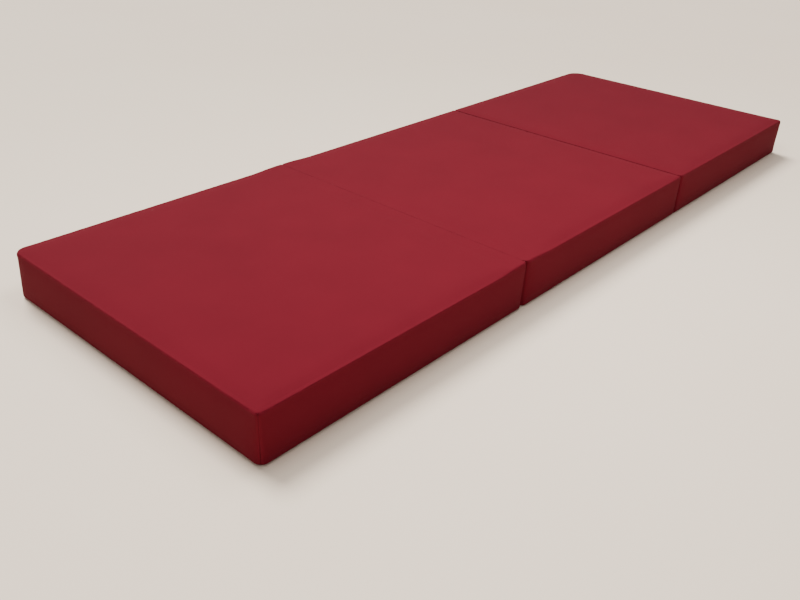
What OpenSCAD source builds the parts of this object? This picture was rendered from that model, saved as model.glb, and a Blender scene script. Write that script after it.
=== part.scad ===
// Tri-fold futon mattress: three foam sections, each in its own zipped cloth cover, joined by two
// cloth hinges so that the mattress folds like a fan into a stack one section long.
// The length lies along X, the front side faces -Y, the zips are at the back, +Y, and the floor is Z = 0.
// The origin is at the middle of the underside.

/* [Mattress] */
// Length of one section, from fold line to fold line
section_l = 650; // [450:1:900]
// Width across the mattress
mattress_w = 700; // [500:1:1400]
// Thickness of the mattress
mattress_h = 100; // [70:1:200]
// Slack between the end faces of two neighbouring sections
fold_gap = 2; // [1:0.5:6]

/* [Cover] */
// Thickness of the cover cloth with its backing
cloth_t = 1; // [0.5:0.1:2]
// Radius of the upright corners, seen from above
corner_r = 24; // [22:1:34]
// Radius of the rolled top edges
top_edge_r = 8; // [4:0.5:16]
// Radius of the rolled bottom edges
bottom_edge_r = 20; // [4:0.5:21]
// Number of flats in each rolled edge
roll_steps = 5; // [3:1:8]
// Room between the foam and the cloth at the sides
foam_ease = 0.3; // [0.2:0.1:2]

/* [Fold hinges] */
// Width of the cloth hinge strip that joins two sections
strip_w = 30; // [16:1:60]
// Thickness of the hinge strip
strip_t = 0.8; // [0.4:0.1:1.5]

/* [Zips] */
// Height of the opening between the two back borders, where the slider runs
zip_opening = 13; // [12:0.5:20]
// Reach of each zip tape from the middle of the zip
tape_w = 16; // [12:0.5:24]
// Thickness of the zip tape
tape_t = 0.6; // [0.3:0.1:1]
// Height of one row of zip teeth
teeth_w = 2.7; // [2:0.1:3.4]
// Depth of the zip teeth, front to back
teeth_t = 2; // [1.2:0.1:3]
// Slot between the two rows of teeth, where the web of the slider runs
teeth_slot = 1.2; // [1:0.1:2]
// Length of each end stop
stop_l = 3; // [2:0.5:5]
// Room behind the back border for the tapes and the inner plate of the slider
zip_room = 3.2; // [2.6:0.1:5]
// Running clearance of the slider on the tapes and teeth
slider_clear = 0.3; // [0.2:0.05:0.4]
// Length of the slider
slider_l = 12; // [9:0.5:16]
// Thickness of the two plates of the slider
slider_plate_t = 1; // [0.8:0.1:1.2]
// Thickness of the web that joins the plates of the slider
slider_web_t = 0.6; // [0.4:0.1:0.7]
// Radius of the pin that the pull swings on
pin_r = 0.7; // [0.5:0.05:0.9]
// Radial clearance of the pull on its pin
pin_clear = 0.08; // [0.02:0.01:0.1]
// Length of the pull, from its pin to its tip
pull_l = 26; // [18:1:40]
// Width of the pull at its tip
pull_w = 7; // [5:0.5:9]
// Thickness of the pull
pull_t = 1.6; // [1.2:0.1:2]

/* [Care label] */
// Width of the blank care label
label_w = 45; // [20:1:80]
// Height of the care label
label_h = 22; // [15:1:23]
// Thickness of the folded label cloth
label_t = 0.6; // [0.3:0.1:1]
// Distance of the label from the fold at the foot side of the head section
label_inset = 90; // [30:1:200]

/* [Hidden] */
$fn = 64;
SECTIONS = ["head", "middle", "foot"];
PIECES = [
    "foam_core", "top_panel", "bottom_panel", "front_border", "left_border", "right_border",
    "back_border_upper", "back_border_lower", "zip_tape_upper", "zip_tape_lower",
    "zip_teeth_upper", "zip_teeth_lower", "zip_end_stops", "zip_slider", "zip_pull"
];

cloth_colour = [0.47, 0.12, 0.16];
foam_colour = [0.93, 0.90, 0.78];
tape_colour = [0.36, 0.09, 0.12];
teeth_colour = [0.30, 0.07, 0.10];
metal_colour = [0.62, 0.60, 0.58];
label_colour = [0.95, 0.95, 0.93];

// Each section lies between x_start and x_end; a fold takes half the slack from each side of it
x_start = [-1.5 * section_l, (fold_gap - section_l) / 2, (fold_gap + section_l) / 2];
x_end = [-(fold_gap + section_l) / 2, (section_l - fold_gap) / 2, 1.5 * section_l];
half_w = mattress_w / 2;
// The head fold is hinged along its top edge and the foot fold along its bottom edge, so on those
// edges the cloth of a section runs square to the fold, and everywhere else it rolls over the foam
top_r_left = [top_edge_r, 0, top_edge_r];
top_r_right = [0, top_edge_r, top_edge_r];
bottom_r_left = [bottom_edge_r, bottom_edge_r, 0];
bottom_r_right = [bottom_edge_r, 0, bottom_edge_r];

// Heights and depths of the zip, with depths measured outward from the outer face of the back border
zip_z = mattress_h / 2;
zip_edge_low = zip_z - zip_opening / 2;
zip_edge_high = zip_z + zip_opening / 2;
tape_front = -cloth_t;
tape_back = tape_front - tape_t;
teeth_front = tape_front + teeth_t;
plate_out = teeth_front + slider_clear;
plate_in = tape_back - slider_clear;
slider_half_h = teeth_slot / 2 + teeth_w + slider_clear + slider_plate_t;
web_l = slider_l / 3;
ear_t = 0.9;
eye_r = 1.5;
pin_y = plate_out + slider_plate_t + eye_r + slider_clear;
eye_half_h = 1.4;
ear_r = 1.3;
pull_neck_w = 2 * eye_half_h;
pull_neck_l = 6;
pull_hole_r = 1.6;

function half_x(i) = (x_end[i] - x_start[i]) / 2;
function mid_x(i) = (x_end[i] + x_start[i]) / 2;
function zip_half(i) = half_x(i) - corner_r;

// ---- Shapes that the pieces share ----

// Upright slice of a filled section edge: u runs outward from the middle of the corner, z up.
// The outer top and bottom corners are rolled with their own radius; 0 leaves a corner square.
module edge_slice(u_max, z_low, z_high, top_r, bottom_r) {
    polygon(concat(
        [[0, z_high], [0, z_low]],
        roll(u_max - bottom_r, z_low + bottom_r, bottom_r, -90),
        roll(u_max - top_r, z_high - top_r, top_r, 0)
    ));
}

// Quarter turn of flats about (u, z), from the given angle upwards; with no radius it is one point
function roll(u, z, r, from) = r == 0 ? [[u, z]] :
    [for (k = [0 : roll_steps]) let (a = from + 90 * k / roll_steps) [u, z] + r * [cos(a), sin(a)]];

// Slice of the border cloth: the skin of an edge slice, open where the flat panels close it
module border_slice(top_r, bottom_r) {
    difference() {
        edge_slice(corner_r, 0, mattress_h, top_r, bottom_r);
        edge_slice(corner_r - cloth_t, cloth_t, mattress_h - cloth_t,
                   max(top_r - cloth_t, 0), max(bottom_r - cloth_t, 0));
        translate([0, mattress_h - cloth_t]) square([corner_r - top_r, cloth_t]);
        square([corner_r - bottom_r, cloth_t]);
    }
}

// Slice of the foam behind the same edge, set in from the cloth
module foam_slice(top_r, bottom_r, set_in) {
    edge_slice(corner_r - cloth_t - set_in, cloth_t, mattress_h - cloth_t,
               max(top_r - cloth_t, 0), max(bottom_r - cloth_t, 0));
}

// Carries a slice straight along the side of a section that faces the given direction
module side_run(direction, reach, across) {
    rotate([0, 0, direction])
        translate([reach - corner_r, across - corner_r, 0])
            rotate([90, 0, 0]) linear_extrude(2 * (across - corner_r)) children();
}

// Carries a slice round the two half corners at the ends of that side, up to the corner seams
module side_corners(direction, reach, across) {
    rotate([0, 0, direction])
        for (flip = [0, 1]) mirror([0, flip, 0])
            translate([reach - corner_r, across - corner_r, 0])
                rotate_extrude(angle = 45) children();
}

module side_sweep(direction, reach, across) {
    side_run(direction, reach, across) children();
    side_corners(direction, reach, across) children();
}

module rounded_plan(hx, hy, r) {
    square([2 * hx, 2 * (hy - r)], center = true);
    square([2 * (hx - r), 2 * hy], center = true);
    for (sx = [-1, 1], sy = [-1, 1]) translate([sx * (hx - r), sy * (hy - r)]) circle(r = r);
}

// Outline of a flat panel: inside the rolled edges, and out to the end face on a hinged side
module panel_plan(i, edge_r, left_r, right_r) {
    hx = half_x(i);
    rounded_plan(hx - edge_r, half_w - edge_r, corner_r - edge_r);
    if (left_r == 0) mirror([1, 0]) hinged_side_plan(hx);
    if (right_r == 0) hinged_side_plan(hx);
}

// What a panel gains on a hinged side: the rest of the outline, between the two corner seams
module hinged_side_plan(hx) {
    intersection() {
        rounded_plan(hx, half_w, corner_r);
        polygon([
            [hx - corner_r, half_w - corner_r], [hx + corner_r, half_w + corner_r],
            [hx + corner_r, -half_w - corner_r], [hx - corner_r, corner_r - half_w]
        ]);
    }
}

// The room that the hinge strips take, for cutting it out of the foam and the borders
module strips() {
    strip_block(-section_l / 2, mattress_h - cloth_t - strip_t);
    strip_block(section_l / 2, cloth_t);
}

module strip_block(x, z) {
    translate([x - strip_w / 2, corner_r - half_w, z])
        cube([strip_w, 2 * (half_w - corner_r), strip_t]);
}

// ---- Foam ----

module foam_core(i) {
    hx = half_x(i);
    color(foam_colour) difference() {
        translate([mid_x(i), 0, 0]) {
            translate([corner_r - hx, corner_r - half_w, cloth_t])
                cube([2 * (hx - corner_r), 2 * (half_w - corner_r), mattress_h - 2 * cloth_t]);
            side_sweep(0, hx, half_w) foam_slice(top_r_right[i], bottom_r_right[i], foam_ease);
            side_sweep(180, hx, half_w) foam_slice(top_r_left[i], bottom_r_left[i], foam_ease);
            side_sweep(270, half_w, hx) foam_slice(top_edge_r, bottom_edge_r, foam_ease);
            side_sweep(90, half_w, hx) foam_slice(top_edge_r, bottom_edge_r, zip_room);
        }
        strips();
    }
}

// ---- Cover cloth ----

module top_panel(i) {
    color(cloth_colour) translate([mid_x(i), 0, mattress_h - cloth_t]) linear_extrude(cloth_t)
        panel_plan(i, top_edge_r, top_r_left[i], top_r_right[i]);
}

module bottom_panel(i) {
    color(cloth_colour) translate([mid_x(i), 0, 0]) linear_extrude(cloth_t)
        panel_plan(i, bottom_edge_r, bottom_r_left[i], bottom_r_right[i]);
}

module front_border(i) {
    color(cloth_colour) translate([mid_x(i), 0, 0])
        side_sweep(270, half_w, half_x(i)) border_slice(top_edge_r, bottom_edge_r);
}

module left_border(i) {
    color(cloth_colour) difference() {
        translate([mid_x(i), 0, 0])
            side_sweep(180, half_x(i), half_w) border_slice(top_r_left[i], bottom_r_left[i]);
        strips();
    }
}

module right_border(i) {
    color(cloth_colour) difference() {
        translate([mid_x(i), 0, 0])
            side_sweep(0, half_x(i), half_w) border_slice(top_r_right[i], bottom_r_right[i]);
        strips();
    }
}

// The upper back border closes the corners beyond the ends of the zip down to the lower border
module back_border_upper(i) {
    color(cloth_colour) translate([mid_x(i), 0, 0]) {
        side_run(90, half_w, half_x(i)) border_slice_above(zip_edge_high);
        side_corners(90, half_w, half_x(i)) border_slice_above(zip_edge_low);
    }
}

module border_slice_above(z) {
    intersection() {
        border_slice(top_edge_r, bottom_edge_r);
        translate([0, z]) square([corner_r, mattress_h - z]);
    }
}

module back_border_lower(i) {
    color(cloth_colour) translate([mid_x(i), 0, 0])
        side_sweep(90, half_w, half_x(i)) intersection() {
            border_slice(top_edge_r, bottom_edge_r);
            square([corner_r, zip_edge_low]);
        }
}

// ---- Zips ----

// A straight bar along the zip of a section: y and z are given from the wall and the zip line
module zip_bar(i, y_low, y_high, z_low, z_high, trim) {
    translate([mid_x(i) - zip_half(i) + trim, half_w + y_low, zip_z + z_low])
        cube([2 * (zip_half(i) - trim), y_high - y_low, z_high - z_low]);
}

module zip_tape(i, side) {
    low = side > 0 ? teeth_slot / 2 : -tape_w;
    color(tape_colour) zip_bar(i, tape_back, tape_front, low, low + tape_w - teeth_slot / 2, 0);
}

module zip_teeth(i, side) {
    low = side > 0 ? teeth_slot / 2 : -teeth_slot / 2 - teeth_w;
    color(teeth_colour) zip_bar(i, tape_front, teeth_front, low, low + teeth_w, stop_l);
}

module zip_end_stops(i) {
    reach = teeth_slot / 2 + teeth_w;
    color(metal_colour) for (x = [-zip_half(i), zip_half(i) - stop_l])
        translate([mid_x(i) + x, half_w + tape_front, zip_z - reach])
            cube([stop_l, teeth_t, 2 * reach]);
}

// The slider stands at the left end stop, where the zip is closed
function slider_x(i) = mid_x(i) - zip_half(i) + stop_l + slider_clear + slider_l / 2;

module zip_slider(i) {
    color(metal_colour) translate([slider_x(i), half_w, zip_z]) {
        slider_plate(plate_out);
        slider_plate(plate_in - slider_plate_t);
        translate([-slider_l / 2, plate_in, -slider_web_t / 2])
            cube([web_l, plate_out - plate_in, slider_web_t]);
        for (side = [-1, 1]) {
            slider_flange(side);
            pin_ear(side);
        }
        translate([0, pin_y, -eye_half_h - slider_clear - ear_t / 2])
            cylinder(h = 2 * (eye_half_h + slider_clear) + ear_t, r = pin_r);
    }
}

module slider_plate(y) {
    translate([-slider_l / 2, y, -slider_half_h])
        cube([slider_l, slider_plate_t, 2 * slider_half_h]);
}

// The flange turns from the outer plate towards the tape and keeps a row of teeth in
module slider_flange(side) {
    depth = plate_out - tape_front - slider_clear;
    z = side > 0 ? slider_half_h - slider_plate_t : -slider_half_h;
    translate([-slider_l / 2, plate_out - depth, z]) cube([slider_l, depth, slider_plate_t]);
}

// Each ear stands on the outer plate and holds one end of the pin
module pin_ear(side) {
    z = side > 0 ? eye_half_h + slider_clear : -eye_half_h - slider_clear - ear_t;
    foot = plate_out + slider_plate_t;
    translate([0, 0, z]) linear_extrude(ear_t) {
        translate([0, pin_y]) circle(r = ear_r);
        translate([-ear_r, foot]) square([2 * ear_r, pin_y - foot]);
    }
}

module zip_pull(i) {
    bore_r = pin_r + pin_clear;
    color(metal_colour) translate([slider_x(i), half_w + pin_y, zip_z]) {
        difference() {
            union() {
                translate([0, 0, -eye_half_h]) cylinder(h = 2 * eye_half_h, r = eye_r);
                translate([0, -pull_t / 2, -eye_half_h]) cube([pull_neck_l, pull_t, pull_neck_w]);
            }
            translate([0, 0, -eye_half_h - 1]) cylinder(h = 2 * eye_half_h + 2, r = bore_r);
        }
        translate([0, pull_t / 2, 0]) rotate([90, 0, 0]) linear_extrude(pull_t) difference() {
            union() {
                translate([pull_neck_l, -pull_w / 2]) square([pull_l - pull_neck_l - pull_w / 2, pull_w]);
                translate([pull_l - pull_w / 2, 0]) circle(r = pull_w / 2);
            }
            translate([pull_l - pull_w / 2, 0]) circle(r = pull_hole_r);
        }
    }
}

// ---- Hinges between the sections, and the label ----

module head_fold_strip() {
    color(tape_colour) strip_block(-section_l / 2, mattress_h - cloth_t - strip_t);
}

module foot_fold_strip() {
    color(tape_colour) strip_block(section_l / 2, cloth_t);
}

// The label hangs against the lower back border of the head section, sewn in along the zip opening
module care_label() {
    color(label_colour)
        translate([x_end[0] - label_inset - label_w, half_w, zip_edge_low - label_h])
            cube([label_w, label_t, label_h]);
}

for (i = [0 : 2]) {
    name = SECTIONS[i];
    foam_core(i);
    top_panel(i);
    bottom_panel(i);
    front_border(i);
    left_border(i);
    right_border(i);
    back_border_upper(i);
    back_border_lower(i);
    zip_tape(i, 1);
    zip_tape(i, -1);
    zip_teeth(i, 1);
    zip_teeth(i, -1);
    zip_end_stops(i);
    zip_slider(i);
    zip_pull(i);
}
head_fold_strip();
foot_fold_strip();
care_label();
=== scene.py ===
# %% [markdown]
# # A tri-fold futon mattress
#
# Three foam slabs, each in its own zipped microfibre cover, are joined by two cloth hinges, so that the
# mattress folds like a fan. The frame that is loaded here holds the sizes, the bodies and the joints.
# Everything below dresses that frame: covers that fit tightly over the foam, seams, zips, hinges, a
# blank care label, and the finish of each. All lengths are in metres.

import bpy
import numpy as np
from mathutils import Matrix, Vector


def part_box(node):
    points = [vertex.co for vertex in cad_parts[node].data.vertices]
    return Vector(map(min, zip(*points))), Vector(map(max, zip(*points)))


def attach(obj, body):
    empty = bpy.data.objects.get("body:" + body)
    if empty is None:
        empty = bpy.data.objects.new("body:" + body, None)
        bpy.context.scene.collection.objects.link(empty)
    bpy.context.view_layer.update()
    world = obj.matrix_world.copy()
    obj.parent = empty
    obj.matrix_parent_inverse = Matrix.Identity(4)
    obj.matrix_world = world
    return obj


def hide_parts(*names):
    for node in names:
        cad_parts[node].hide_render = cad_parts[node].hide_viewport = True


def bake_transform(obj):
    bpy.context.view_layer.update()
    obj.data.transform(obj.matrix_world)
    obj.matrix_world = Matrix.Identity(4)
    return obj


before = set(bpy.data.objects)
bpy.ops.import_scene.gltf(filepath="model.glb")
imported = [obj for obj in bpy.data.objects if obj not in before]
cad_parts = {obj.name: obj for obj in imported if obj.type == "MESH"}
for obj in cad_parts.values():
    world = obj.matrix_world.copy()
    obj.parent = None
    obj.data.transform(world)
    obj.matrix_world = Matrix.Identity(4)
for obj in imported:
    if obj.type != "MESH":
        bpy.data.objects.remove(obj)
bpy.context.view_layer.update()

MM = 0.001
SEED = 7


def in_scene(name, data):
    """A new object that shows the data, linked into the scene."""
    made = bpy.data.objects.new(name, data)
    bpy.context.scene.collection.objects.link(made)
    return made


# %% [markdown]
# ## The camera
#
# The mattress is seen from its head end, a little above it, with one long side in view. A camera is an
# object whose -Z axis looks at the scene, so its rotation can be built from three directions at right
# angles: where it looks, which way is right, and which way is up. The small tilt of the right-hand
# direction is the roll of a camera held by hand.

# %% Camera
CAMERA_PLACE = Vector((-1.5422, -1.0858, 0.8101))
LOOK = Vector((0.6579, 0.5660, -0.4969)).normalized()
RIGHT = Vector((0.6678, -0.7434, 0.0374))
LENS_MM = 37.68
SENSOR_MM = 36

right = (RIGHT - RIGHT.dot(LOOK) * LOOK).normalized()
up = right.cross(LOOK)
camera = in_scene("camera", bpy.data.cameras.new("camera"))
camera.matrix_world = Matrix.Translation(CAMERA_PLACE) @ Matrix((right, up, -LOOK)).transposed().to_4x4()
camera.data.lens = LENS_MM
camera.data.sensor_width = SENSOR_MM
bpy.context.scene.camera = camera
print("camera lens", camera.data.lens, "mm")

# %% [markdown]
# ## The sizes of a section
#
# Each section is a slab with rounded upright corners and small rolled edges round its top and bottom.
# Its outer faces and its zip opening are read off the boxes of the pieces in the frame, so they aren't
# typed twice. A side is hinged at the top or at the bottom where the flat panel of the frame runs right
# out to the end face: there the cloth stays flat and goes square over the edge. Elsewhere the tight
# cover pulls each edge to a small roll.

# %% Sizes read from the frame
SECTIONS = ("head", "middle", "foot")
LEFT, RIGHT_END = 0, 1
FRONT, BACK = 0, 1
EDGE_TOP_ROLL = 6.0 * MM
EDGE_BOTTOM_ROLL = 6.0 * MM
HINGED_ROLL = 0.6 * MM
FOLD_TOP_ROLL = 2.0 * MM
FOLD_BOTTOM_ROLL = 6.0 * MM
SAME_PLACE = 1.0 * MM


def section_sizes(name):
    """The outer faces, hinged edges and zip ends of one section, from the boxes of its pieces."""
    left, right_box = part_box(f"{name}_left_border"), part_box(f"{name}_right_border")
    front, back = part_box(f"{name}_front_border"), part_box(f"{name}_back_border_upper")
    top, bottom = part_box(f"{name}_top_panel"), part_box(f"{name}_bottom_panel")
    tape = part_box(f"{name}_zip_tape_upper")
    x = (left[0].x, right_box[1].x)
    size = {"x": x, "y": (front[0].y, back[1].y), "height": top[1].z, "name": name}
    for face, box in (("top", top), ("bottom", bottom)):
        size[f"{face}_hinged"] = tuple(abs(box[end].x - x[end]) < SAME_PLACE for end in (LEFT, RIGHT_END))
    size["outer_end"] = (name == "head", name == "foot")
    size["zip_x"] = (tape[0].x, tape[1].x)
    return size


SIZE = {name: section_sizes(name) for name in SECTIONS}
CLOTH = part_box("head_top_panel")[1].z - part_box("head_top_panel")[0].z
for name in SECTIONS:
    size = SIZE[name]
    print(name, "x", [round(v, 4) for v in size["x"]], "top hinged", size["top_hinged"])

# %% [markdown]
# ## Lines across a side
#
# Every cloth piece is a grid. Its lines are closer together near the seams, where the cloth turns into
# the groove of the seam, and wider apart in the middle. One line of the grid is described by two
# numbers: `share`, from 0 to 1 along the straight part of the side, and `turn`, which is 0 there and
# goes to -1 or 1 as the line reaches the seam in the middle of the rounded corner. The same lines serve
# the flat panel and the border that is sewn to it, so the two meet exactly.

# %% Lines of the grids
CROWDING = 1.5


class Lines:
    """Lines of a grid: share and turn as arrays, and position, one number that grows from line to line."""

    def __init__(self, in_corner, in_straight):
        near = (np.arange(in_corner) / in_corner) ** CROWDING
        straight = np.linspace(0, 1, in_straight + 1)
        self.turn = np.concatenate([near - 1, np.zeros(in_straight + 1), (1 - near)[::-1]])
        self.share = np.concatenate([np.zeros(in_corner), straight, np.ones(in_corner)])
        self.position = self.turn + 3 * self.share
        self.count = len(self.turn)

    def index_of(self, position):
        """The fractional index of the line at each position."""
        return np.interp(position, self.position, np.arange(self.count))


def smooth(t):
    """Smoothstep: 3t^2 - 2t^3 with t held between 0 and 1."""
    t = np.clip(t, 0, 1)
    return t * t * (3 - 2 * t)


def mix(a, b, share):
    """A straight blend from a to b."""
    return a + (b - a) * share


# %% [markdown]
# ## The plan of a section
#
# Seen from above, a section is a rectangle with four round corners, each with its own radius at the top
# and at the bottom: `CORNERS_MM` lists the left front, left back, right front and right back one. Sewing
# and use have made each a little different. To lay a square grid over such a shape with no pinched
# cells, each corner square is squeezed to a quarter disc: a point (p, q) of the square goes to
# p * sqrt(1 - q^2 / 2), q * sqrt(1 - p^2 / 2).

# %% Plan of a section
CORNERS_MM = {"head": (((9, 16), (24, 14)), ((5, 9), (8, 9))),
              "middle": (((15, 14), (10, 12)), ((5, 7), (8, 8))),
              "foot": (((11, 9), (10, 10)), ((9, 10), (42, 38)))}
EASE_SIDE = 0.6 * MM
EASE_TOP = 2.2 * MM
HINGE_FLAT = 18 * MM
HINGE_FADE = 75 * MM


def corner_radius(size, end, side, depth):
    """Radius of one upright corner: depth 0 is at the top of the wall and 1 at its bottom."""
    at_top, at_bottom = CORNERS_MM[size["name"]][end][side]
    return mix(at_top, at_bottom, smooth(depth)) * MM


def base_faces(size):
    """The faces before the cover fills out: drawn in at the front and at an outer end."""
    ease = [EASE_SIDE * outer for outer in size["outer_end"]]
    x = (size["x"][0] + ease[0], size["x"][1] - ease[1])
    return x, (size["y"][0] + EASE_SIDE, size["y"][1])


def top_height(size, x):
    """The top before it fills out: drawn down, but flat at full height beside a hinge at the top."""
    flat = np.zeros_like(x)
    for end in (LEFT, RIGHT_END):
        if size["top_hinged"][end]:
            flat = np.maximum(flat, 1 - smooth((np.abs(x - size["x"][end]) - HINGE_FLAT) / HINGE_FADE))
    return size["height"] - EASE_TOP * (1 - flat)


def plan_grid(size, across, along, depth):
    """Points (x, y) of the section's plan on the grid across x along: the rectangle between the corner
    centres, plus the corner radius times the squeezed square in the corners."""
    (x0, x1), (y0, y1) = base_faces(size)
    p, fx = across.turn[:, None], across.share[:, None]
    q, fy = along.turn[None, :], along.share[None, :]
    r = [[corner_radius(size, end, side, depth) for side in (FRONT, BACK)] for end in (LEFT, RIGHT_END)]
    r_left, r_right = mix(r[0][0], r[0][1], fy), mix(r[1][0], r[1][1], fy)
    r_front, r_back = mix(r[0][0], r[1][0], fx), mix(r[0][1], r[1][1], fx)
    radius = mix(r_left, r_right, fx)
    x = mix(x0 + r_left, x1 - r_right, fx) + radius * p * np.sqrt(1 - q * q / 2)
    y = mix(y0 + r_front, y1 - r_back, fy) + radius * q * np.sqrt(1 - p * p / 2)
    return x, y


def rim(size, x, y, depth):
    """How far each plan point is in from the wall, its outward direction, how much it belongs to an end
    rather than to the front or back, from 1 on the straight of an end smoothly to 0 round the corner, and
    which end that is."""
    (x0, x1), (y0, y1) = base_faces(size)
    end, side = (x > (x0 + x1) / 2).astype(int), (y > (y0 + y1) / 2).astype(int)
    table = np.array([[corner_radius(size, e, s, depth) for s in (FRONT, BACK)] for e in (LEFT, RIGHT_END)])
    radius = table[end, side]
    out_x, out_y = 2 * end - 1, 2 * side - 1
    qx = np.where(end == 1, x - x1, x0 - x) + radius
    qy = np.where(side == 1, y - y1, y0 - y) + radius
    in_corner = (qx > 0) & (qy > 0)
    reach = np.hypot(np.maximum(qx, 0), np.maximum(qy, 0))
    inset = np.where(in_corner, radius - reach, radius - np.maximum(qx, qy))
    cos = np.where(in_corner, qx / np.maximum(reach, 1e-9), (qx > qy).astype(float))
    sin = np.where(in_corner, qy / np.maximum(reach, 1e-9), (qx <= qy).astype(float))
    to_end = smooth(1 - np.arctan2(sin, cos) / (np.pi / 2))
    return inset, cos * out_x, sin * out_y, to_end, end


# %% [markdown]
# ## The profile of an edge
#
# A border goes from the seam in the middle of the top roll, down the wall, to the seam in the middle of
# the bottom roll. `w` runs from 0 to 1 round the top roll, from 1 to 2 down the wall, and from 2 to 3
# round the bottom roll. A roll is a quarter circle, and the seams are at 45 degrees of it. A hinged edge
# has nearly no roll, so the roll changes smoothly as it goes round the corner.

# %% Profile of an edge
SEAM_TURN = np.pi / 4


def rolls(size, end, to_end):
    """Top and bottom roll where the outline belongs by to_end to that end, and else to the long sides."""
    ends_top, ends_bottom = np.zeros(2), np.zeros(2)
    for e in (LEFT, RIGHT_END):
        outer = size["outer_end"][e]
        ends_top[e] = EDGE_TOP_ROLL if outer else FOLD_TOP_ROLL
        ends_bottom[e] = EDGE_BOTTOM_ROLL if outer else FOLD_BOTTOM_ROLL
        if size["top_hinged"][e]:
            ends_top[e] = HINGED_ROLL
        if size["bottom_hinged"][e]:
            ends_bottom[e] = HINGED_ROLL
    return mix(EDGE_TOP_ROLL, ends_top[end], to_end), mix(EDGE_BOTTOM_ROLL, ends_bottom[end], to_end)


def profile(w, roll_top, roll_bottom, height):
    """Inset and height along the profile. Round a roll of radius r at angle a from straight up, the
    inset is r (1 - sin a) and the drop below the top is r (1 - cos a)."""
    a = SEAM_TURN + (np.pi / 2 - SEAM_TURN) * np.clip(w, 0, 1)
    b = np.pi / 2 + SEAM_TURN * np.clip(w - 2, 0, 1)
    inset = roll_top * (1 - np.sin(a)) + roll_bottom * (1 - np.sin(b))
    wall = mix(height - roll_top, roll_bottom, np.clip(w - 1, 0, 1))
    return inset, wall + roll_top * np.cos(a) + roll_bottom * np.cos(b)


# %% [markdown]
# ## Border and panel surfaces
#
# With the plan and the profile, both kinds of cloth piece are plain functions on a grid. A border is
# the profile carried along its side and round half of each corner. A panel is the plan grid, with its
# rim moved in to the seam and its height taken from the same roll. Because both use the same formulas
# at the seam, the pieces share that line to the last digit.

# %% Surfaces of borders and panels
RIM_FADE = 12 * MM


def border_surface(size, side, lines, w):
    """Points of the border on that side, at each line and each w (an array of lines x rows)."""
    (x0, x1), (y0, y1) = base_faces(size)
    turn, share = lines.turn[:, None], lines.share[:, None]
    depth = np.clip(w - 1, 0, 1)
    lengthwise = side in ("front", "back")
    place = {"front": FRONT, "back": BACK, "left": LEFT, "right": RIGHT_END}[side]
    if lengthwise:
        r_start = corner_radius(size, LEFT, place, depth)
        r_stop = corner_radius(size, RIGHT_END, place, depth)
        start, stop = x0, x1
    else:
        r_start = corner_radius(size, place, FRONT, depth)
        r_stop = corner_radius(size, place, BACK, depth)
        start, stop = y0, y1
    radius = mix(r_start, r_stop, share)
    sin, cos = turn / np.sqrt(2), np.sqrt(1 - turn ** 2 / 2)
    angle = np.arcsin(np.abs(sin))
    if lengthwise:
        end, to_end = np.broadcast_to(share > 0.5, w.shape).astype(int), smooth(angle / (np.pi / 2))
    else:
        end, to_end = np.full(w.shape, place), smooth(1 - angle / (np.pi / 2))
    roll_top, roll_bottom = rolls(size, end, to_end)
    along = mix(start + r_start, stop - r_stop, share) + radius * sin
    out_of = radius * (1 - cos)
    x_here = along if lengthwise else np.full(w.shape, (x0, x1)[place])
    inset, z = profile(w, roll_top, roll_bottom, top_height(size, x_here))
    along, out_of = along - inset * sin, out_of + inset * cos
    if side == "front":
        return np.stack([along, y0 + out_of, z], -1)
    if side == "back":
        return np.stack([along, y1 - out_of, z], -1)
    if side == "left":
        return np.stack([x0 + out_of, along, z], -1)
    return np.stack([x1 - out_of, along, z], -1)


def panel_surface(size, face, across, along):
    """Points of the top or bottom panel. The rim moves in to the seam by roll x (1 - sin 45), fading to
    nothing RIM_FADE inside, and the height follows the roll's circle."""
    depth = 0.0 if face == "top" else 1.0
    x, y = plan_grid(size, across, along, depth)
    inset, out_x, out_y, to_end, end = rim(size, x, y, depth)
    roll = rolls(size, end, to_end)[0 if face == "top" else 1]
    to_seam = roll * (1 - np.sin(SEAM_TURN)) * np.clip(1 - inset / RIM_FADE, 0, 1) ** 2
    x, y = x - out_x * to_seam, y - out_y * to_seam
    inset = inset + to_seam
    drop = roll - np.sqrt(np.maximum(roll ** 2 - np.clip(roll - inset, 0, None) ** 2, 0))
    z = top_height(size, x) - drop if face == "top" else drop
    return np.stack([x, y, z], -1), inset


# %% [markdown]
# ## Filling the cover out
#
# A tight cover over foam is a closed cloth bag that is blown out a little everywhere except at its
# seams. Blender's cloth simulation does exactly that with its pressure setting. The whole bag is built
# once at a coarse spacing from the same surfaces, its points welded along the seams, and the seams, the
# hinged edges, the zip band and the underside are held still. After twenty frames each point has moved
# some way outward. Foam behind the cloth stops it, so that move is capped softly, with
# cap * tanh(move / cap). What is kept is only the move of each point, which the fine grids then read.

# %% The coarse bag
WELD = 0.02 * MM
COARSE = {"x": Lines(3, 44), "y": Lines(3, 46)}
COARSE_W = np.array([0, 0.5, 1, 1.12, 1.25, 1.375, 1.5, 1.625, 1.75, 1.88, 2, 2.34, 2.67, 3.0])
SIDES = ("front", "back", "left", "right")
FLIPPED = {"top": False, "bottom": True, "front": True, "back": False, "left": False, "right": True}


def side_lines(side, lines):
    """The lines that a side shares with the panels."""
    return lines["x"] if side in ("front", "back") else lines["y"]


def bag_parts(size):
    """The six coarse surfaces of a section, as a dict of grids."""
    parts = {face: panel_surface(size, face, COARSE["x"], COARSE["y"])[0] for face in ("top", "bottom")}
    for side in SIDES:
        lines = side_lines(side, COARSE)
        parts[side] = border_surface(size, side, lines, np.tile(COARSE_W, (lines.count, 1)))
    return parts


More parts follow.
